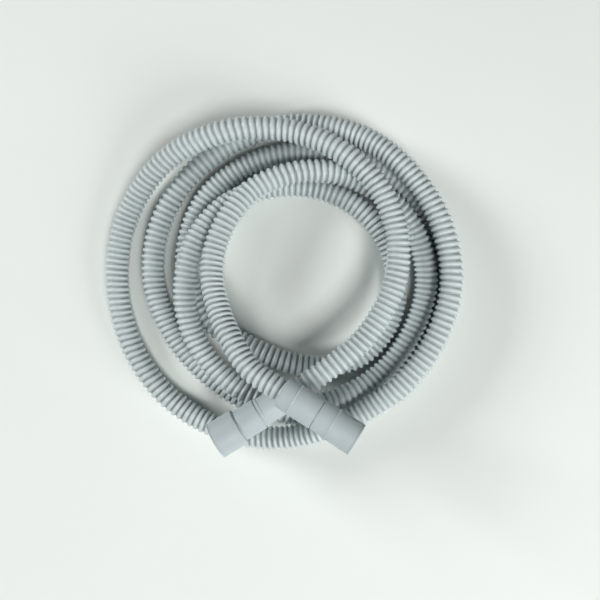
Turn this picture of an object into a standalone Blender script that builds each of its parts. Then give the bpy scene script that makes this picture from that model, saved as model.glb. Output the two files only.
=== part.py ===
"""Dishwasher drain hose: one long corrugated hose lying in a loose coil, with a moulded cuff on each end.

Metres, +Z up. The origin lies on the table under the middle of the coil. The hose leaves the stepped cuff
at the bottom of the coil, seen from above, runs round anticlockwise and ends in the straight cuff.
"""

import math

import bpy
from mathutils import Euler, Vector

MM = 0.001

# Hose
HOSE_DIAMETER = 17.9 * MM
HOSE_BEVEL_RESOLUTION = 4
HOSE_STUB = 4.0 * MM

# What both cuffs share: the seat for the hose, its stop and the run of the corners
SEAT_DEPTH = 22.0 * MM
SEAT_CLEARANCE = 0.3 * MM
STOP_BORE = 14.0 * MM
STOP_LENGTH = 2.5 * MM
LEAD_IN = 0.4 * MM
RIM_ROUNDING = 0.6 * MM
CORNER_STEPS = 2
CUFF_FACETS = 40

# Stepped cuff, from its mouth to its tail
WIDE_MOUTH_BORE = 22.2 * MM
WIDE_MOUTH_WALL = 2.3 * MM
WIDE_MOUTH_LENGTH = 20.1 * MM
NECK_BORE = 19.0 * MM
NECK_WALL = 2.0 * MM
NECK_LENGTH = 16.7 * MM
NECK_GROOVE_LENGTH = 0.9 * MM
STEPPED_BEAD_LENGTH = 1.8 * MM
STEPPED_BEAD_RISE = 0.5 * MM
STEPPED_TAIL_WALL = 1.3 * MM
STEPPED_TAIL_LENGTH = 22.8 * MM
STEP_SLOPE = 0.4 * MM

# Straight cuff, from its mouth to its tail
NARROW_MOUTH_BORE = 19.0 * MM
NARROW_MOUTH_WALL = 2.1 * MM
NARROW_MOUTH_LENGTH = 18.5 * MM
RING_LENGTH = 1.2 * MM
RING_RISE = 0.3 * MM
GRIP_WALL = 2.0 * MM
GRIP_LENGTH = 10.6 * MM
GROOVE_LENGTH = 1.6 * MM
GROOVE_DEPTH = 0.45 * MM
BODY_LENGTH = 18.0 * MM
STRAIGHT_TAIL_WALL = 1.9 * MM
STRAIGHT_TAIL_LENGTH = 9.3 * MM

# The coil is laid out in hose diameters, so that it grows with the hose. A height is a level: 0 lies on the
# table, 1 lies on one strand of the hose. The middle of the coil is given in the part's frame.
COIL_MIDDLE = (0.26, -0.19)

# Where each cuff lies: the middle of its tail end seen from the middle of the coil, with its level, and the
# way its mouth faces, as a heading from +X and a rise above the horizon
STEPPED_CUFF_PLACE = (0.04, -4.53, 2.04)
STEPPED_CUFF_HEADING = math.radians(211.5)
STEPPED_CUFF_RISE = math.radians(4.0)
STRAIGHT_CUFF_PLACE = (-0.20, -4.23, 3.26)
STRAIGHT_CUFF_HEADING = math.radians(328.2)
STRAIGHT_CUFF_RISE = math.radians(9.3)

# The coil's stations lie a sixteenth of a turn apart, from the bottom of the coil round anticlockwise.
# Each one is a radius and a level.
STATIONS_PER_TURN = 16
COIL_START = math.radians(270.0)
FIRST_TURN = (
    (3.88, 1.90), (3.78, 1.80), (3.92, 1.75), (4.32, 1.70), (4.82, 1.70), (5.30, 1.75),
    (5.76, 1.65), (6.36, 1.20), (6.88, 1.10), (7.46, 0.55), (7.66, 0.05), (7.54, 0.00),
    (7.40, 0.00), (7.24, 0.00), (6.92, 0.25),
)
SECOND_TURN = (
    (6.54, 0.75), (6.22, 1.20), (6.28, 1.20), (6.52, 1.15), (6.78, 1.15), (6.82, 1.15),
    (6.84, 1.10), (6.98, 0.55), (6.92, 0.00), (6.62, 0.00), (6.40, 0.00), (6.20, 0.00),
    (5.92, 0.00), (5.56, 0.00), (5.34, 0.00), (5.40, 0.00),
)
THIRD_TURN = (
    (5.70, 0.00), (6.26, 0.00), (6.64, 0.00), (6.84, 0.00), (7.02, 0.00), (6.90, 0.00),
    (6.48, 0.00), (6.04, 0.00), (5.70, 0.00), (5.44, 0.00), (5.20, 0.00), (4.80, 0.00),
    (4.42, 0.00), (3.92, 0.00), (3.40, 0.00), (3.24, 0.00),
)
FOURTH_TURN = (
    (3.46, 0.00), (3.92, 0.00), (4.42, 0.00), (4.64, 0.00), (4.66, 0.00), (4.64, 0.00),
    (4.50, 0.00), (4.36, 0.00), (4.28, 0.00), (4.30, 0.10), (4.30, 0.65), (4.32, 1.00),
    (4.38, 1.05), (4.56, 0.95), (4.72, 0.90), (4.94, 0.95),
)
FIFTH_TURN = (
    (5.12, 0.95), (5.34, 0.60), (5.56, 0.20), (5.72, 0.05), (5.94, 0.10), (5.86, 0.30),
    (5.50, 0.55), (5.06, 0.80), (4.58, 1.05), (4.16, 1.20), (3.64, 1.50), (3.32, 1.60),
    (3.12, 1.75), (3.04, 2.05), (3.22, 2.50), (3.72, 2.95),
)
COIL = FIRST_TURN + SECOND_TURN + THIRD_TURN + FOURTH_TURN + FIFTH_TURN


def clear_scene():
    """Remove whatever the scene holds."""
    for thing in list(bpy.data.objects):
        bpy.data.objects.remove(thing, do_unlink=True)


def new_collection(name):
    collection = bpy.data.collections.new(name)
    bpy.context.scene.collection.children.link(collection)
    return collection


def plastic(name, colour, roughness):
    """A plain moulded plastic."""
    material = bpy.data.materials.new(name)
    material.use_nodes = True
    shader = material.node_tree.nodes["Principled BSDF"]
    shader.inputs["Base Color"].default_value = (*colour, 1.0)
    shader.inputs["Roughness"].default_value = roughness
    shader.inputs["Metallic"].default_value = 0.0
    return material


def facing(heading, rise):
    """The unit vector that points along a heading and a rise."""
    level = math.cos(rise)
    return Vector((level * math.cos(heading), level * math.sin(heading), math.sin(rise)))


def in_part_frame(place):
    """Carry a place seen from the middle of the coil, in hose diameters, into the part's frame."""
    across, along, level = place
    return Vector((COIL_MIDDLE[0] + across, COIL_MIDDLE[1] + along, 0.5 + level)) * HOSE_DIAMETER


def station_point(number, radius, level):
    """The hose's centre at one station of the coil."""
    angle = COIL_START + number * math.tau / STATIONS_PER_TURN
    return in_part_frame((radius * math.cos(angle), radius * math.sin(angle), level))


def seated_end(place, heading, rise):
    """The hose's two points at a cuff: its end against the stop, and just outside the tail."""
    tail = in_part_frame(place)
    outwards = facing(heading, rise)
    return tail + outwards * (SEAT_DEPTH - SEAT_CLEARANCE), tail - outwards * HOSE_STUB


def hose_route():
    """The hose's centreline from one cuff's stop to the other's."""
    first_end, first_stub = seated_end(STEPPED_CUFF_PLACE, STEPPED_CUFF_HEADING, STEPPED_CUFF_RISE)
    last_end, last_stub = seated_end(STRAIGHT_CUFF_PLACE, STRAIGHT_CUFF_HEADING, STRAIGHT_CUFF_RISE)
    coil = [station_point(number, *station) for number, station in enumerate(COIL, start=1)]
    return [first_end, first_stub, *coil, last_stub, last_end]


def make_hose(collection, material):
    """The hose as a plain round tube along its route."""
    curve = bpy.data.curves.new("corrugated_hose", "CURVE")
    curve.dimensions = "3D"
    curve.twist_mode = "Z_UP"
    curve.bevel_depth = HOSE_DIAMETER / 2
    curve.bevel_resolution = HOSE_BEVEL_RESOLUTION
    curve.use_fill_caps = True
    route = hose_route()
    spline = curve.splines.new("POLY")
    spline.points.add(len(route) - 1)
    for point, place in zip(spline.points, route):
        point.co = (*place, 1.0)
    curve.materials.append(material)
    hose = bpy.data.objects.new("corrugated_hose", curve)
    collection.objects.link(hose)
    return hose


def rounded_corner(before, corner, after, radius):
    """The points of a fillet of about this radius at one corner of a profile."""
    back = (before - corner).normalized()
    on = (after - corner).normalized()
    reach = min(radius, (before - corner).length / 2, (after - corner).length / 2)
    start = corner + back * reach
    end = corner + on * reach
    points = []
    for step in range(CORNER_STEPS + 1):
        part = step / CORNER_STEPS
        along_back = start.lerp(corner, part)
        along_on = corner.lerp(end, part)
        points.append(along_back.lerp(along_on, part))
    return points


def rounded_profile(corners):
    """A closed outline from corners given as (radius from the axis, place along it, rounding)."""
    places = [Vector((out, 0.0, along)) for out, along, _ in corners]
    outline = []
    for number, (_, _, rounding) in enumerate(corners):
        corner = places[number]
        if rounding > 0.0:
            before = places[number - 1]
            after = places[(number + 1) % len(places)]
            outline.extend(rounded_corner(before, corner, after, rounding))
        else:
            outline.append(corner)
    return outline


def turned(name, corners, collection, material):
    """A piece turned about its own Z axis from a closed profile."""
    outline = rounded_profile(corners)
    count = len(outline)
    mesh = bpy.data.meshes.new(name)
    mesh.from_pydata(outline, [(i, (i + 1) % count) for i in range(count)], [])
    mesh.materials.append(material)
    piece = bpy.data.objects.new(name, mesh)
    collection.objects.link(piece)
    screw = piece.modifiers.new("turn", "SCREW")
    screw.axis = "Z"
    screw.angle = math.tau
    screw.steps = CUFF_FACETS
    screw.render_steps = CUFF_FACETS
    screw.use_merge_vertices = True
    screw.merge_threshold = 0.01 * MM
    screw.use_smooth_shade = True
    return piece


def place_cuff(cuff, place, heading, rise):
    """Lay a cuff down with its tail end at its place and its mouth, at +Z, along its heading."""
    cuff.rotation_euler = Euler((0.0, math.pi / 2 - rise, heading), "XYZ")
    cuff.location = in_part_frame(place)


def inner_corners(mouth_bore, length, wide_step=None):
    """The bore's corners from the hose's seat up to the mouth, with a wider mouth where one is given."""
    seat = HOSE_DIAMETER / 2 + SEAT_CLEARANCE
    corners = [
        (seat + LEAD_IN / 2, 0.0, 0.0),
        (seat, LEAD_IN, 0.0),
        (seat, SEAT_DEPTH, 0.0),
        (STOP_BORE / 2, SEAT_DEPTH, 0.0),
        (STOP_BORE / 2, SEAT_DEPTH + STOP_LENGTH, 0.0),
    ]
    if wide_step is None:
        corners.append((mouth_bore / 2, SEAT_DEPTH + STOP_LENGTH, 0.0))
    else:
        narrow_bore, step_at = wide_step
        corners.append((narrow_bore / 2, SEAT_DEPTH + STOP_LENGTH, 0.0))
        corners.append((narrow_bore / 2, step_at - STEP_SLOPE, 0.0))
        corners.append((mouth_bore / 2, step_at, 0.0))
    corners.append((mouth_bore / 2, length, LEAD_IN))
    return corners


def make_stepped_cuff(collection, material):
    """The stepped cuff: a wide mouth, a narrower neck, a groove, a small bead and a thin tail."""
    tail = HOSE_DIAMETER / 2 + SEAT_CLEARANCE + STEPPED_TAIL_WALL
    bead = tail + STEPPED_BEAD_RISE
    neck = NECK_BORE / 2 + NECK_WALL
    mouth = WIDE_MOUTH_BORE / 2 + WIDE_MOUTH_WALL
    bead_at = STEPPED_TAIL_LENGTH
    groove_at = bead_at + STEPPED_BEAD_LENGTH
    neck_at = groove_at + NECK_GROOVE_LENGTH
    mouth_at = neck_at + NECK_LENGTH
    length = mouth_at + WIDE_MOUTH_LENGTH
    outer = [
        (mouth, length, RIM_ROUNDING),
        (mouth, mouth_at + STEP_SLOPE, RIM_ROUNDING),
        (neck, mouth_at, STEP_SLOPE),
        (neck, neck_at, RIM_ROUNDING),
        (tail, neck_at, 0.0),
        (tail, groove_at, 0.0),
        (bead, groove_at, STEPPED_BEAD_RISE),
        (bead, bead_at, STEPPED_BEAD_RISE),
        (tail, bead_at, 0.0),
        (tail, 0.0, STEPPED_TAIL_WALL / 3),
    ]
    inner = inner_corners(WIDE_MOUTH_BORE, length, (NECK_BORE, mouth_at))
    cuff = turned("stepped_cuff", outer + inner, collection, material)
    place_cuff(cuff, STEPPED_CUFF_PLACE, STEPPED_CUFF_HEADING, STEPPED_CUFF_RISE)
    return cuff


def make_straight_cuff(collection, material):
    """The near-straight cuff: a mouth, a fine ring, a grip, a soft groove, a body, a ring and a tail."""
    bore = NARROW_MOUTH_BORE / 2
    mouth = bore + NARROW_MOUTH_WALL
    grip = bore + GRIP_WALL
    seat = HOSE_DIAMETER / 2 + SEAT_CLEARANCE
    tail = seat + STRAIGHT_TAIL_WALL
    body_at = STRAIGHT_TAIL_LENGTH
    groove_at = body_at + BODY_LENGTH
    grip_at = groove_at + GROOVE_LENGTH
    ring_at = grip_at + GRIP_LENGTH
    mouth_at = ring_at + RING_LENGTH
    length = mouth_at + NARROW_MOUTH_LENGTH
    outer = [
        (mouth, length, RIM_ROUNDING),
        (mouth, mouth_at, 0.0),
        (mouth + RING_RISE, (ring_at + mouth_at) / 2, RING_RISE),
        (grip, ring_at, 0.0),
        (grip, grip_at, RIM_ROUNDING),
        (grip - GROOVE_DEPTH, groove_at, GROOVE_DEPTH),
        (grip, groove_at - GROOVE_DEPTH, RIM_ROUNDING),
        (grip, body_at + RING_LENGTH, 0.0),
        (grip + RING_RISE, body_at + RING_LENGTH / 2, RING_RISE),
        (tail, body_at, 0.0),
        (tail, 0.0, STRAIGHT_TAIL_WALL / 3),
    ]
    inner = inner_corners(NARROW_MOUTH_BORE, length)
    cuff = turned("straight_cuff", outer + inner, collection, material)
    place_cuff(cuff, STRAIGHT_CUFF_PLACE, STRAIGHT_CUFF_HEADING, STRAIGHT_CUFF_RISE)
    return cuff


def main():
    clear_scene()
    parts = new_collection("drain_hose")
    hose_plastic = plastic("hose_plastic", (0.50, 0.53, 0.54), 0.45)
    cuff_plastic = plastic("cuff_plastic", (0.45, 0.50, 0.51), 0.6)
    make_hose(parts, hose_plastic)
    make_stepped_cuff(parts, cuff_plastic)
    make_straight_cuff(parts, cuff_plastic)
    bpy.context.view_layer.update()


main()
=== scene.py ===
"""Looks for the dishwasher drain hose: corrugated hose, two moulded cuffs, floor, light and camera.

Metres, +Z up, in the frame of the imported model.
"""

import math

import bpy
import numpy as np
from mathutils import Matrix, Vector


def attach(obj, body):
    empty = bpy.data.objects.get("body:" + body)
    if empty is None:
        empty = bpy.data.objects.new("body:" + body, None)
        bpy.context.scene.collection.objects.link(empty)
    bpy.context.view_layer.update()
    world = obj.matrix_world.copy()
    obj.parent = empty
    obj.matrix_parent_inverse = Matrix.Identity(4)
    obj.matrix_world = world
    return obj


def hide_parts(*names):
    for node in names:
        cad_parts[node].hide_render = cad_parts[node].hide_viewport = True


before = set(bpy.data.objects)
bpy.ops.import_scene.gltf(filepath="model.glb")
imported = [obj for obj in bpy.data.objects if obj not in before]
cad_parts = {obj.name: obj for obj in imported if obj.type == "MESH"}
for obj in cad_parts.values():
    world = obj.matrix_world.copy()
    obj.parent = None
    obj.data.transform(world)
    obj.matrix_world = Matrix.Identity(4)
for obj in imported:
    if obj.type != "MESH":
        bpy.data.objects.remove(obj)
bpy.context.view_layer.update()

MM = 0.001

# The hose's run, as the part has it
HOSE_DIAMETER = 17.9 * MM
HOSE_STUB = 4.0 * MM
SEAT_DEPTH = 22.0 * MM
SEAT_CLEARANCE = 0.3 * MM
COIL_MIDDLE = (0.26, -0.19)
STEPPED_CUFF_PLACE = (0.04, -4.53, 2.04)
STEPPED_CUFF_HEADING = math.radians(211.5)
STEPPED_CUFF_RISE = math.radians(4.0)
STRAIGHT_CUFF_PLACE = (-0.20, -4.23, 3.26)
STRAIGHT_CUFF_HEADING = math.radians(328.2)
STRAIGHT_CUFF_RISE = math.radians(9.3)

# The coil's stations, one after another round the coil: a radius in hose diameters, and a level, where 0
# lies on the table and 1 lies on one strand
STATIONS_PER_TURN = 16
COIL_START = math.radians(270.0)
FIRST_TURN = (
    (3.88, 1.90), (3.78, 1.80), (3.92, 1.75), (4.32, 1.70), (4.82, 1.70), (5.30, 1.75),
    (5.76, 1.65), (6.36, 1.20), (6.88, 1.10), (7.46, 0.55), (7.66, 0.05), (7.54, 0.00),
    (7.40, 0.00), (7.24, 0.00), (6.92, 0.25),
)
SECOND_TURN = (
    (6.54, 0.75), (6.22, 1.20), (6.28, 1.20), (6.52, 1.15), (6.78, 1.15), (6.82, 1.15),
    (6.84, 1.10), (6.98, 0.55), (6.92, 0.00), (6.62, 0.00), (6.40, 0.00), (6.20, 0.00),
    (5.92, 0.00), (5.56, 0.00), (5.34, 0.00), (5.40, 0.00),
)
THIRD_TURN = (
    (5.70, 0.00), (6.26, 0.00), (6.64, 0.00), (6.84, 0.00), (7.02, 0.00), (6.90, 0.00),
    (6.48, 0.00), (6.04, 0.00), (5.70, 0.00), (5.44, 0.00), (5.20, 0.00), (4.80, 0.00),
    (4.42, 0.00), (3.92, 0.00), (3.40, 0.00), (3.24, 0.00),
)
FOURTH_TURN = (
    (3.46, 0.00), (3.92, 0.00), (4.42, 0.00), (4.64, 0.00), (4.66, 0.00), (4.64, 0.00),
    (4.50, 0.00), (4.36, 0.00), (4.28, 0.00), (4.30, 0.10), (4.30, 0.65), (4.32, 1.00),
    (4.38, 1.05), (4.56, 0.95), (4.72, 0.90), (4.94, 0.95),
)
FIFTH_TURN = (
    (5.12, 0.95), (5.34, 0.60), (5.56, 0.20), (5.72, 0.05), (5.94, 0.10), (5.86, 0.30),
    (5.50, 0.55), (5.06, 0.80), (4.58, 1.05), (4.16, 1.20), (3.64, 1.50), (3.32, 1.60),
    (3.12, 1.75), (3.04, 2.05), (3.22, 2.50), (3.72, 2.95),
)
COIL = FIRST_TURN + SECOND_TURN + THIRD_TURN + FOURTH_TURN + FIFTH_TURN

# The hose's skin
RIDGE_PITCH = 4.65 * MM
RIDGE_DEPTH = 1.7 * MM
# One ridge from groove to groove: how far along it, and how deep below the crest as a share of the depth
RIDGE_PROFILE = ((0.05, 1.0), (0.2, 0.7), (0.35, 0.08), (0.65, 0.08), (0.8, 0.7), (0.95, 1.0))
# Waves that shift the ridges along the hose: how far each does, and how many of them the hose takes. With
# the whole hose as one turn, they all pull the ridges apart most at one angle.
RIDGE_SHIFT = 3.2 * MM
RIDGE_WAVES = (4, 11)
WIDEST_AT = 0.61
HOSE_BORE = 12.4 * MM
HOSE_SIDES = 24
BORE_SIDES = HOSE_SIDES // 2
BORE_RING_SPACING = 18.0 * MM

# The cuffs, as the part has them
STOP_BORE = 14.0 * MM
STOP_LENGTH = 2.5 * MM
LEAD_IN = 0.4 * MM
RIM_ROUNDING = 0.6 * MM

WIDE_MOUTH_BORE = 22.2 * MM
WIDE_MOUTH_WALL = 2.3 * MM
WIDE_MOUTH_LENGTH = 20.1 * MM
NECK_BORE = 19.0 * MM
NECK_WALL = 2.0 * MM
NECK_LENGTH = 16.7 * MM
NECK_GROOVE_LENGTH = 0.9 * MM
STEPPED_BEAD_LENGTH = 1.8 * MM
STEPPED_BEAD_RISE = 0.5 * MM
STEPPED_TAIL_WALL = 1.3 * MM
STEPPED_TAIL_LENGTH = 22.8 * MM
STEP_SLOPE = 0.4 * MM

NARROW_MOUTH_BORE = 19.0 * MM
NARROW_MOUTH_WALL = 2.1 * MM
NARROW_MOUTH_LENGTH = 18.5 * MM
RING_LENGTH = 1.2 * MM
GRIP_WALL = 2.0 * MM
GRIP_LENGTH = 10.6 * MM
GROOVE_LENGTH = 1.6 * MM
BODY_LENGTH = 18.0 * MM
STRAIGHT_TAIL_WALL = 1.9 * MM
STRAIGHT_TAIL_LENGTH = 9.3 * MM

# Finer shape of the cuffs' skins: what the part lacks, and rings and a groove stronger than the part's
EDGE_ROUNDING = 0.2 * MM
RING_HALF_LENGTH = 0.5 * MM
RING_RISE = 0.5 * MM
GROOVE_DEPTH = 0.7 * MM
LIP_LENGTH = 1.0 * MM
LIP_GROOVE_LENGTH = 0.8 * MM
LIP_GROOVE_DEPTH = 0.3 * MM
NECK_ROOT_LENGTH = 1.3 * MM
NECK_ROOT_DEPTH = 0.4 * MM
NECK_GROOVE_WIDENING = 0.3 * MM
NECK_GROOVE_DEPTH = 0.2 * MM

# How finely the cuffs are turned. A point of a profile in the same place as the one before it is dropped.
CORNER_STEPS = 5
SAME_PLACE = 0.001 * MM
CUFF_SIDES = 96
SHARP_ANGLE = math.radians(40.0)

# Camera: straight above, with its place seen from the coil's middle, and its lens in Blender's millimetres
CAMERA_ACROSS = 8.0 * MM
CAMERA_ALONG = -12.8 * MM
CAMERA_HEIGHT = 480.0 * MM
CAMERA_NEAREST = 10.0 * MM
CAMERA_LENS = 36.1

# Colours, and how the plastics vary: the shades of their patches and scuffs, and of the painted shade in
# the hose's grooves, as shares of the colour, the range of their roughness, and what scuffs add to it
HOSE_COLOUR = (0.54, 0.608, 0.616)
HOSE_SHADES = (0.95, 1.03)
HOSE_SCUFF_SHADE = 1.16
# The hose's grooves are darkened towards this share of the colour as painted shade
HOSE_GROOVE_PAINTED_SHADE = 0.5
HOSE_ROUGHNESS = (0.32, 0.42)
HOSE_SCUFF_ROUGHNESS = 0.3
CUFF_COLOUR = (0.413, 0.471, 0.486)
CUFF_SHADES = (0.95, 1.04)
CUFF_SCUFF_SHADE = 1.15
CUFF_ROUGHNESS = (0.48, 0.6)
CUFF_SCUFF_ROUGHNESS = 0.2
# Nearly all values of Blender's noise lie between these
NOISE_SPREAD = (0.3, 0.7)

# Floor: how far it goes, and how far out it starts to fade into the backdrop and has done so
FLOOR_COLOUR = (0.775, 0.812, 0.78)
FLOOR_SHADES = (0.99, 1.01)
FLOOR_ROUGHNESS = (0.84, 0.94)
FLOOR_REACH = 4.0
FLOOR_FADE = (0.42, 0.8)

# Light: what the lamps aim at and how far off they are, and for each lamp its name, its side and height in
# degrees, its size in metres and its power in watts
WORLD_STRENGTH = 0.01
AIM = Vector((0.0, 0.0, 0.03))
LAMP_DISTANCE = 2.4
LAMPS = (
    ("key", 300.0, 59.0, 0.9, 35.5),
    ("left", 156.0, 25.0, 0.9, 43.0),
    ("right", 321.0, 24.0, 0.9, 30.0),
)


def facing(heading, rise):
    """The unit vector that points along a heading and a rise."""
    level = math.cos(rise)
    return Vector((level * math.cos(heading), level * math.sin(heading), math.sin(rise)))


def in_part_frame(place):
    """Carry a place of the hose's centre into the part's frame.

    It is given in hose diameters: across and along from the coil's middle, and up from lying on the table.
    """
    across, along, level = place
    return Vector((COIL_MIDDLE[0] + across, COIL_MIDDLE[1] + along, 0.5 + level)) * HOSE_DIAMETER


def station_point(number, radius, level):
    """The hose's centre at one station of the coil."""
    angle = COIL_START + number * math.tau / STATIONS_PER_TURN
    return in_part_frame((radius * math.cos(angle), radius * math.sin(angle), level))


def seated_end(place, heading, rise):
    """The hose's two points at a cuff: its end against the stop, and just outside the tail."""
    tail = in_part_frame(place)
    outwards = facing(heading, rise)
    return tail + outwards * (SEAT_DEPTH - SEAT_CLEARANCE), tail - outwards * HOSE_STUB


def hose_route():
    """The hose's centreline from one cuff's stop to the other's."""
    first_end, first_stub = seated_end(STEPPED_CUFF_PLACE, STEPPED_CUFF_HEADING, STEPPED_CUFF_RISE)
    last_end, last_stub = seated_end(STRAIGHT_CUFF_PLACE, STRAIGHT_CUFF_HEADING, STRAIGHT_CUFF_RISE)
    coil = [station_point(number, *station) for number, station in enumerate(COIL, start=1)]
    return np.array([first_end, first_stub, *coil, last_stub, last_end])


class SmoothRun:
    """A smooth curve through a route's points, read by the distance along it.

    In plan it turns evenly through each point. Its height never overshoots a point's, so that it doesn't
    dip into the table between two points that lie on it.
    """

    # The steps from one point of the route to the next
    STEPS = 24
    # How far before and after a place its direction is read
    REACH = 1.5 * MM

    def __init__(self, route):
        reach = np.linalg.norm(np.diff(route, axis=0), axis=1)
        slopes = np.diff(route, axis=0) / reach[:, None]
        bends = np.vstack([slopes[:1], self.joined(slopes, reach), slopes[-1:]])
        points = []
        for number, length in enumerate(reach):
            start, end = route[number], route[number + 1]
            for step in range(self.STEPS):
                t = step / self.STEPS
                # Hermite's weights for the places and the slopes of both ends
                points.append(
                    (2 * t**3 - 3 * t**2 + 1) * start
                    + (t**3 - 2 * t**2 + t) * length * bends[number]
                    + (3 * t**2 - 2 * t**3) * end
                    + (t**3 - t**2) * length * bends[number + 1]
                )
        points.append(route[-1])
        self.points = np.array(points)
        steps = np.linalg.norm(np.diff(self.points, axis=0), axis=1)
        self.along = np.concatenate([[0.0], np.cumsum(steps)])
        self.length = self.along[-1]

    @staticmethod
    def joined(slopes, reach):
        """The slope at each inner point, with the height's kept gentle enough not to overshoot.

        A cubic doesn't overshoot while its slope is at most three times the gentler one beside it.
        """
        before, after = slopes[:-1], slopes[1:]
        near, far = reach[:-1, None], reach[1:, None]
        mean = (before * far + after * near) / (near + far)
        limit = 3 * np.minimum(np.abs(before[:, 2]), np.abs(after[:, 2]))
        turning = before[:, 2] * after[:, 2] <= 0
        mean[:, 2] = np.where(turning, 0.0, np.clip(mean[:, 2], -limit, limit))
        return mean

    def at(self, distances):
        """The points at these distances."""
        return np.column_stack([np.interp(distances, self.along, values) for values in self.points.T])

    def ahead(self, distances):
        """The unit directions in which the run goes at these distances."""
        before = self.at(np.maximum(distances - self.REACH, 0.0))
        after = self.at(np.minimum(distances + self.REACH, self.length))
        step = after - before
        return step / np.linalg.norm(step, axis=1)[:, None]


def rings(run, distances, radii, sides):
    """Rings of points square to the run, with each ring's first point at its side."""
    centres = run.at(distances)
    ahead = run.ahead(distances)
    sideways = np.cross((0.0, 0.0, 1.0), ahead)
    sideways /= np.linalg.norm(sideways, axis=1)[:, None]
    upwards = np.cross(ahead, sideways)
    angles = np.arange(sides) * math.tau / sides
    spread = (
        sideways[:, None] * np.cos(angles)[None, :, None]
        + upwards[:, None] * np.sin(angles)[None, :, None]
    )
    return centres[:, None] + spread * radii[:, None, None]


def ring_faces(first, count, sides):
    """Faces between neighbours in a stack of rings whose first point has this number."""
    faces = []
    for ring in range(count - 1):
        base = first + ring * sides
        for side in range(sides):
            beside = (side + 1) % sides
            faces.append((base + side, base + beside, base + sides + beside, base + sides + side))
    return faces


def shifted(distances, length):
    """Let the ridges lie a little closer or wider apart along the hose, with both ends kept."""
    turned = distances / length * math.tau
    for waves in RIDGE_WAVES:
        wave = np.sin(waves * (turned - WIDEST_AT)) + math.sin(waves * WIDEST_AT)
        distances = distances + RIDGE_SHIFT * wave
    return distances


def bore_end_faces(outer, inner, outside_first):
    """Faces between the end ring of the skin and the end ring of the bore, which has half its points."""
    faces = []
    for side in range(BORE_SIDES):
        beside = (side + 1) % BORE_SIDES
        skin = [outer + 2 * side, outer + 2 * side + 1, outer + (2 * side + 2) % HOSE_SIDES]
        bore = [inner + side, inner + beside]
        faces.append(skin + bore[::-1] if outside_first else bore + skin[::-1])
    return faces


def smooth_mesh(name, points, faces, material):
    """A smoothly shaded mesh of one material."""
    mesh = bpy.data.meshes.new(name)
    mesh.from_pydata(points.reshape(-1, 3).tolist(), [], faces)
    mesh.shade_smooth()
    mesh.materials.append(material)
    return mesh


def link(piece):
    """Put a new object in the scene."""
    bpy.context.scene.collection.objects.link(piece)
    return piece


def make_camera():
    """The camera, above the coil and looking straight down."""
    camera = link(bpy.data.objects.new("camera", bpy.data.cameras.new("camera")))
    camera.data.lens = CAMERA_LENS
    camera.data.clip_start = CAMERA_NEAREST
    middle = Vector((*COIL_MIDDLE, 0.0)) * HOSE_DIAMETER
    camera.location = middle + Vector((CAMERA_ACROSS, CAMERA_ALONG, CAMERA_HEIGHT))
    bpy.context.scene.camera = camera


def make_hose(material):
    """The corrugated hose: ridges all along outside, a plain bore inside, open at both ends."""
    run = SmoothRun(hose_route())
    ridges = int(run.length / RIDGE_PITCH)
    pitch = run.length / ridges
    distances = [(ridge + share) * pitch for ridge in range(ridges) for share, _ in RIDGE_PROFILE]
    depths = [depth for _ in range(ridges) for _, depth in RIDGE_PROFILE]
    distances = shifted(np.array([*distances, run.length]), run.length)
    depths = np.array([*depths, 1.0])
    outside = rings(run, distances, HOSE_DIAMETER / 2 - RIDGE_DEPTH * depths, HOSE_SIDES)
    bore_count = int(run.length / BORE_RING_SPACING)
    bore_distances = np.linspace(run.length, 0.0, bore_count)
    inside = rings(run, bore_distances, np.full(bore_count, HOSE_BORE / 2), BORE_SIDES)
    points = np.concatenate([outside.reshape(-1, 3), inside.reshape(-1, 3)])
    bore_first = len(outside) * HOSE_SIDES
    bore_last = bore_first + (bore_count - 1) * BORE_SIDES
    faces = ring_faces(0, len(outside), HOSE_SIDES)
    faces += ring_faces(bore_first, bore_count, BORE_SIDES)
    faces += bore_end_faces(bore_first - HOSE_SIDES, bore_first, True)
    faces += bore_end_faces(0, bore_last, False)
    mesh = smooth_mesh("corrugated_hose_skin", points, faces, material)
    depth_of = np.concatenate([np.repeat(depths, HOSE_SIDES), np.ones(bore_count * BORE_SIDES)])
    groove = mesh.attributes.new("groove", "FLOAT", "POINT")
    groove.data.foreach_set("value", depth_of.astype(np.float32))
    return link(bpy.data.objects.new("corrugated_hose_skin", mesh)), run


def rounded_corner(before, corner, after, radius):
    """The points of a fillet of about this radius at one corner of a profile."""
    back = (before - corner).normalized()
    on = (after - corner).normalized()
    reach = min(radius, (before - corner).length / 2, (after - corner).length / 2)
    start = corner + back * reach
    end = corner + on * reach
    points = []
    for step in range(CORNER_STEPS + 1):
        part = step / CORNER_STEPS
        points.append(start.lerp(corner, part).lerp(corner.lerp(end, part), part))
    return points


def rounded_profile(corners):
    """A closed outline from corners given as (radius from the axis, place along it, rounding)."""
    places = [Vector((out, along)) for out, along, _ in corners]
    outline = []
    for number, (_, _, rounding) in enumerate(corners):
        corner = places[number]
        if rounding > 0.0:
            before = places[number - 1]
            after = places[(number + 1) % len(places)]
            outline.extend(rounded_corner(before, corner, after, rounding))
        else:
            outline.append(corner)
    steps = [(point - outline[number - 1]).length for number, point in enumerate(outline)]
    return np.array([point for point, step in zip(outline, steps) if step > SAME_PLACE])


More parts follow.
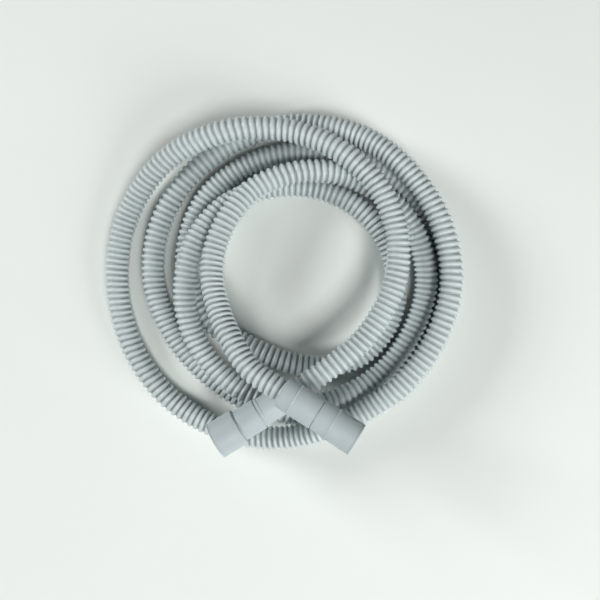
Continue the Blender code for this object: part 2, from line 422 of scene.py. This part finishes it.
def turned_cuff(name, corners, place, heading, rise, material):
    """A cuff turned from its profile, with its tail end at its place and its mouth along its heading."""
    outline = rounded_profile(corners)
    ahead = np.array(facing(heading, rise))
    sideways = np.cross((0.0, 0.0, 1.0), ahead)
    sideways /= np.linalg.norm(sideways)
    upwards = np.cross(ahead, sideways)
    angles = np.arange(CUFF_SIDES) * math.tau / CUFF_SIDES
    spread = np.cos(angles)[:, None] * sideways + np.sin(angles)[:, None] * upwards
    centres = np.array(in_part_frame(place)) + outline[:, 1, None] * ahead
    points = centres[:, None] + outline[:, 0, None, None] * spread[None]
    count = len(outline)
    faces = ring_faces(0, count, CUFF_SIDES)
    last = (count - 1) * CUFF_SIDES
    for side in range(CUFF_SIDES):
        beside = (side + 1) % CUFF_SIDES
        faces.append((last + side, last + beside, beside, side))
    mesh = smooth_mesh(name, points, [face[::-1] for face in faces], material)
    mesh.set_sharp_from_angle(angle=SHARP_ANGLE)
    return link(bpy.data.objects.new(name, mesh))


def inner_corners(mouth_bore, length, wide_step=None):
    """The bore's corners from the hose's seat up to the mouth, with a wider mouth where one is given."""
    seat = HOSE_DIAMETER / 2 + SEAT_CLEARANCE
    corners = [
        (seat + LEAD_IN / 2, 0.0, 0.0),
        (seat, LEAD_IN, 0.0),
        (seat, SEAT_DEPTH, 0.0),
        (STOP_BORE / 2, SEAT_DEPTH, 0.0),
        (STOP_BORE / 2, SEAT_DEPTH + STOP_LENGTH, 0.0),
    ]
    if wide_step is None:
        corners.append((mouth_bore / 2, SEAT_DEPTH + STOP_LENGTH, 0.0))
    else:
        narrow_bore, step_at = wide_step
        corners.append((narrow_bore / 2, SEAT_DEPTH + STOP_LENGTH, 0.0))
        corners.append((narrow_bore / 2, step_at - STEP_SLOPE, 0.0))
        corners.append((mouth_bore / 2, step_at, 0.0))
    corners.append((mouth_bore / 2, length, LEAD_IN))
    return corners


def groove_corners(radius, start, end, depth):
    """The corners of a round-edged groove in a cuff's outside, from its end nearer the mouth.

    Each of its sides slopes over a quarter of its length.
    """
    slope = (start - end) / 4
    return [
        (radius, start, EDGE_ROUNDING),
        (radius - depth, start - slope, EDGE_ROUNDING),
        (radius - depth, end + slope, EDGE_ROUNDING),
        (radius, end, EDGE_ROUNDING),
    ]


def ring_corners(before, after, middle):
    """The corners of a fine ring between one radius and the next."""
    return [
        (before, middle + RING_HALF_LENGTH, EDGE_ROUNDING),
        (max(before, after) + RING_RISE, middle, RING_RISE),
        (after, middle - RING_HALF_LENGTH, EDGE_ROUNDING),
    ]


def lip_corners(radius, length):
    """The corners of a mouth's rim and of the fine groove behind its lip."""
    groove_at = length - LIP_LENGTH
    groove = groove_corners(radius, groove_at, groove_at - LIP_GROOVE_LENGTH, LIP_GROOVE_DEPTH)
    return [(radius, length, RIM_ROUNDING), *groove]


def make_stepped_cuff(material):
    """The stepped cuff: a wide mouth, a narrower neck, a groove, a small bead and a thin tail."""
    tail = HOSE_DIAMETER / 2 + SEAT_CLEARANCE + STEPPED_TAIL_WALL
    bead = tail + STEPPED_BEAD_RISE
    neck = NECK_BORE / 2 + NECK_WALL
    mouth = WIDE_MOUTH_BORE / 2 + WIDE_MOUTH_WALL
    bead_at = STEPPED_TAIL_LENGTH
    groove_at = bead_at + STEPPED_BEAD_LENGTH
    neck_at = groove_at + NECK_GROOVE_LENGTH
    mouth_at = neck_at + NECK_LENGTH
    length = mouth_at + WIDE_MOUTH_LENGTH
    root = neck - NECK_ROOT_DEPTH
    deep = tail - NECK_GROOVE_DEPTH
    outer = [
        *lip_corners(mouth, length),
        (mouth, mouth_at + STEP_SLOPE, RIM_ROUNDING),
        (root, mouth_at, NECK_ROOT_DEPTH),
        (root, mouth_at - NECK_ROOT_LENGTH / 2, NECK_ROOT_DEPTH),
        (neck, mouth_at - NECK_ROOT_LENGTH, NECK_ROOT_DEPTH),
        (neck, neck_at + NECK_GROOVE_WIDENING, EDGE_ROUNDING),
        (deep, neck_at + NECK_GROOVE_WIDENING, EDGE_ROUNDING),
        (deep, groove_at, EDGE_ROUNDING),
        (bead, groove_at, STEPPED_BEAD_RISE),
        (bead, bead_at, STEPPED_BEAD_RISE),
        (tail, bead_at, 0.0),
        (tail, 0.0, STEPPED_TAIL_WALL / 3),
    ]
    inner = inner_corners(WIDE_MOUTH_BORE, length, (NECK_BORE, mouth_at))
    return turned_cuff(
        "stepped_cuff_skin", outer + inner,
        STEPPED_CUFF_PLACE, STEPPED_CUFF_HEADING, STEPPED_CUFF_RISE, material,
    )


def make_straight_cuff(material):
    """The near-straight cuff: a mouth, a fine ring, a grip, a soft groove, a body, a ring and a tail."""
    bore = NARROW_MOUTH_BORE / 2
    mouth = bore + NARROW_MOUTH_WALL
    grip = bore + GRIP_WALL
    seat = HOSE_DIAMETER / 2 + SEAT_CLEARANCE
    tail = seat + STRAIGHT_TAIL_WALL
    body_at = STRAIGHT_TAIL_LENGTH
    groove_at = body_at + BODY_LENGTH
    grip_at = groove_at + GROOVE_LENGTH
    ring_at = grip_at + GRIP_LENGTH
    mouth_at = ring_at + RING_LENGTH
    length = mouth_at + NARROW_MOUTH_LENGTH
    outer = [
        *lip_corners(mouth, length),
        *ring_corners(mouth, grip, (ring_at + mouth_at) / 2),
        *groove_corners(grip, grip_at, groove_at, GROOVE_DEPTH),
        *ring_corners(grip, tail, body_at + RING_LENGTH / 2),
        (tail, 0.0, STRAIGHT_TAIL_WALL / 3),
    ]
    inner = inner_corners(NARROW_MOUTH_BORE, length)
    return turned_cuff(
        "straight_cuff_skin", outer + inner,
        STRAIGHT_CUFF_PLACE, STRAIGHT_CUFF_HEADING, STRAIGHT_CUFF_RISE, material,
    )


class Look:
    """A material whose shader takes more nodes."""

    # The sockets of Blender's mix node that carry colour
    FIRST_COLOUR = 6
    SECOND_COLOUR = 7
    MIXED_COLOUR = 2

    def __init__(self, name):
        self.material = bpy.data.materials.new(name)
        self.material.use_nodes = True
        self.nodes = self.material.node_tree.nodes
        self.links = self.material.node_tree.links
        self.shader = self.nodes["Principled BSDF"]
        self.where = self.nodes.new("ShaderNodeTexCoord").outputs["Object"]

    def noise(self, scale, detail, roughness=0.5):
        """Even noise, with its scale in features a metre."""
        noise = self.nodes.new("ShaderNodeTexNoise")
        noise.inputs["Scale"].default_value = scale
        noise.inputs["Detail"].default_value = detail
        noise.inputs["Roughness"].default_value = roughness
        self.links.new(self.where, noise.inputs["Vector"])
        return noise.outputs["Fac"]

    def attribute(self, name):
        """A value that the mesh carries."""
        node = self.nodes.new("ShaderNodeAttribute")
        node.attribute_name = name
        return node.outputs["Fac"]

    def ranged(self, value, low, high, to_low, to_high):
        """Carry a value from one range into another."""
        node = self.nodes.new("ShaderNodeMapRange")
        node.inputs["From Min"].default_value = low
        node.inputs["From Max"].default_value = high
        node.inputs["To Min"].default_value = to_low
        node.inputs["To Max"].default_value = to_high
        self.links.new(value, node.inputs["Value"])
        return node.outputs["Result"]

    def patches(self, scale, detail, low, high):
        """Soft patches that vary from low to high."""
        return self.ranged(self.noise(scale, detail), *NOISE_SPREAD, low, high)

    def shades(self, scale, detail, colour, shares):
        """A colour in soft patches from one share of it to the other."""
        first, second = (shaded(colour, share) for share in shares)
        return self.mixed(self.patches(scale, detail, 0.0, 1.0), first, second)

    def scuffs(self, scale, detail, roughness, start, full, most):
        """Fine scuffs where the noise is high: none at the start value, and the most at the full one."""
        return self.ranged(self.noise(scale, detail, roughness), start, full, 0.0, most)

    def mixed(self, share, first, second):
        """Two colours, or a socket's and a colour, mixed by a share."""
        node = self.nodes.new("ShaderNodeMix")
        node.data_type = "RGBA"
        self.plug(share, node.inputs["Factor"])
        self.plug(first, node.inputs[self.FIRST_COLOUR])
        self.plug(second, node.inputs[self.SECOND_COLOUR])
        return node.outputs[self.MIXED_COLOUR]

    def calculated(self, operation, first, second):
        """Two values put together by one of the math node's operations."""
        node = self.nodes.new("ShaderNodeMath")
        node.operation = operation
        self.plug(first, node.inputs[0])
        self.plug(second, node.inputs[1])
        return node.outputs["Value"]

    def scuffed(self, roughness, scuff, more):
        """A roughness that is more by this much where the surface is scuffed."""
        return self.calculated("ADD", roughness, self.calculated("MULTIPLY", scuff, more))

    def plug(self, value, socket):
        """Link a socket to another's value, or give it a plain colour or number."""
        if isinstance(value, bpy.types.NodeSocket):
            self.links.new(value, socket)
        elif isinstance(value, tuple):
            socket.default_value = (*value, 1.0)
        else:
            socket.default_value = value

    def bump(self, height, distance, strength, under=None):
        """A bumpy surface, on top of another bump where one is given."""
        node = self.nodes.new("ShaderNodeBump")
        node.inputs["Distance"].default_value = distance
        node.inputs["Strength"].default_value = strength
        self.links.new(height, node.inputs["Height"])
        if under is not None:
            self.links.new(under, node.inputs["Normal"])
        return node.outputs["Normal"]

    def finished(self, colour, roughness, normal=None):
        """The material, with its shader's colour, roughness and bumps linked."""
        self.links.new(colour, self.shader.inputs["Base Color"])
        self.links.new(roughness, self.shader.inputs["Roughness"])
        if normal is not None:
            self.links.new(normal, self.shader.inputs["Normal"])
        return self.material


def shaded(colour, share):
    """A colour made darker by a share below 1, or lighter by one above it."""
    return tuple(channel * share for channel in colour)


def hose_material():
    """Satin grey blown plastic: scuffed a little on the crests, with painted shade in the grooves,
    fine-grained.
    """
    look = Look("hose_plastic_look")
    depth = look.attribute("groove")
    skin = look.shades(scale=22.0, detail=3.0, colour=HOSE_COLOUR, shares=HOSE_SHADES)
    worn = look.scuffs(scale=150.0, detail=7.0, roughness=0.7, start=0.52, full=0.68, most=0.6)
    on_crests = look.ranged(depth, low=0.0, high=0.5, to_low=1.0, to_high=0.0)
    scuff = look.calculated("MULTIPLY", worn, on_crests)
    skin = look.mixed(scuff, skin, shaded(HOSE_COLOUR, HOSE_SCUFF_SHADE))
    # Painted shade: the deeper part of each groove is darkened towards half the colour, in soft patches
    painted_shade_patches = look.patches(scale=60.0, detail=4.0, low=0.6, high=1.0)
    in_grooves = look.ranged(depth, low=0.3, high=1.0, to_low=0.0, to_high=1.1)
    painted_groove_shade = look.calculated("MULTIPLY", painted_shade_patches, in_grooves)
    skin = look.mixed(painted_groove_shade, skin, shaded(HOSE_COLOUR, HOSE_GROOVE_PAINTED_SHADE))
    satin = look.patches(160.0, 2.0, *HOSE_ROUGHNESS)
    waves = look.bump(look.noise(scale=260.0, detail=2.0), distance=0.25 * MM, strength=0.25)
    grain = look.bump(look.noise(scale=1500.0, detail=4.0), distance=0.1 * MM, strength=0.4, under=waves)
    return look.finished(skin, look.scuffed(satin, scuff, HOSE_SCUFF_ROUGHNESS), grain)


def cuff_material():
    """Smooth matt moulded plastic: faint flow marks, light scuffs and a fine spark-eroded grain."""
    look = Look("cuff_plastic_look")
    skin = look.shades(scale=35.0, detail=4.0, colour=CUFF_COLOUR, shares=CUFF_SHADES)
    scuff = look.scuffs(scale=180.0, detail=8.0, roughness=0.72, start=0.56, full=0.7, most=0.5)
    skin = look.mixed(scuff, skin, shaded(CUFF_COLOUR, CUFF_SCUFF_SHADE))
    satin = look.patches(220.0, 3.0, *CUFF_ROUGHNESS)
    grain = look.bump(look.noise(scale=1800.0, detail=4.0), distance=0.1 * MM, strength=0.4)
    return look.finished(skin, look.scuffed(satin, scuff, CUFF_SCUFF_ROUGHNESS), grain)


def background_rays(nodes, links):
    """A share that is 1 for rays from the camera, off gloss and through glass, which see the backdrop."""
    rays = nodes.new("ShaderNodeLightPath")
    seen = rays.outputs["Is Camera Ray"]
    for kind in ("Is Glossy Ray", "Is Transmission Ray"):
        either = nodes.new("ShaderNodeMath")
        either.operation = "MAXIMUM"
        links.new(seen, either.inputs[0])
        links.new(rays.outputs[kind], either.inputs[1])
        seen = either.outputs["Value"]
    return seen


def floor_material():
    """A pale matt floor that fades into the backdrop away from the coil."""
    look = Look("floor_look")
    colour = look.shades(scale=6.0, detail=4.0, colour=FLOOR_COLOUR, shares=FLOOR_SHADES)
    material = look.finished(colour, look.patches(90.0, 2.0, *FLOOR_ROUGHNESS))
    distance = look.nodes.new("ShaderNodeVectorMath")
    distance.operation = "LENGTH"
    look.links.new(look.where, distance.inputs[0])
    away = look.ranged(distance.outputs["Value"], *FLOOR_FADE, 0.0, 1.0)
    share = look.calculated("MULTIPLY", away, background_rays(look.nodes, look.links))
    backdrop = look.nodes.new("ShaderNodeEmission")
    backdrop.inputs["Color"].default_value = (*FLOOR_COLOUR, 1.0)
    mix = look.nodes.new("ShaderNodeMixShader")
    look.links.new(share, mix.inputs["Fac"])
    look.links.new(look.shader.outputs["BSDF"], mix.inputs[1])
    look.links.new(backdrop.outputs["Emission"], mix.inputs[2])
    look.links.new(mix.outputs["Shader"], look.nodes["Material Output"].inputs["Surface"])
    return material


def make_floor():
    """The floor under the coil, which takes its shadows."""
    corners = [(-1, -1), (1, -1), (1, 1), (-1, 1)]
    places = [(across * FLOOR_REACH, along * FLOOR_REACH, 0.0) for across, along in corners]
    mesh = bpy.data.meshes.new("floor")
    mesh.from_pydata(places, [], [(0, 1, 2, 3)])
    mesh.materials.append(floor_material())
    link(bpy.data.objects.new("floor", mesh))


def make_lamp(name, azimuth, elevation, size, watts):
    """A square soft lamp that shines on the coil from this side and height."""
    lamp = bpy.data.lights.new(name, "AREA")
    lamp.shape = "SQUARE"
    lamp.size = size
    lamp.energy = watts
    holder = link(bpy.data.objects.new(name, lamp))
    away = facing(math.radians(azimuth), math.radians(elevation))
    holder.location = AIM + away * LAMP_DISTANCE
    holder.rotation_euler = (-away).to_track_quat("-Z", "Y").to_euler()


def make_world():
    """An even dim room, and a plain pale backdrop where the camera and reflections see it."""
    world = bpy.data.worlds.new("studio")
    bpy.context.scene.world = world
    world.use_nodes = True
    nodes, links = world.node_tree.nodes, world.node_tree.links
    lit = nodes["Background"]
    lit.inputs["Color"].default_value = (1.0, 1.0, 1.0, 1.0)
    lit.inputs["Strength"].default_value = WORLD_STRENGTH
    seen = nodes.new("ShaderNodeBackground")
    seen.inputs["Color"].default_value = (*FLOOR_COLOUR, 1.0)
    mix = nodes.new("ShaderNodeMixShader")
    links.new(background_rays(nodes, links), mix.inputs["Fac"])
    links.new(lit.outputs["Background"], mix.inputs[1])
    links.new(seen.outputs["Background"], mix.inputs[2])
    links.new(mix.outputs["Shader"], nodes["World Output"].inputs["Surface"])


def dress(piece, node):
    """Let a piece ride on the part and stand for its solid, which is hidden."""
    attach(piece, "root")
    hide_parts(node)


bpy.context.scene.view_settings.view_transform = "Standard"
make_camera()
hose, hose_run = make_hose(hose_material())
dress(hose, "corrugated_hose")
cuff_look = cuff_material()
stepped_cuff = make_stepped_cuff(cuff_look)
dress(stepped_cuff, "stepped_cuff")
straight_cuff = make_straight_cuff(cuff_look)
dress(straight_cuff, "straight_cuff")
make_floor()
make_world()
for lamp in LAMPS:
    make_lamp(*lamp)
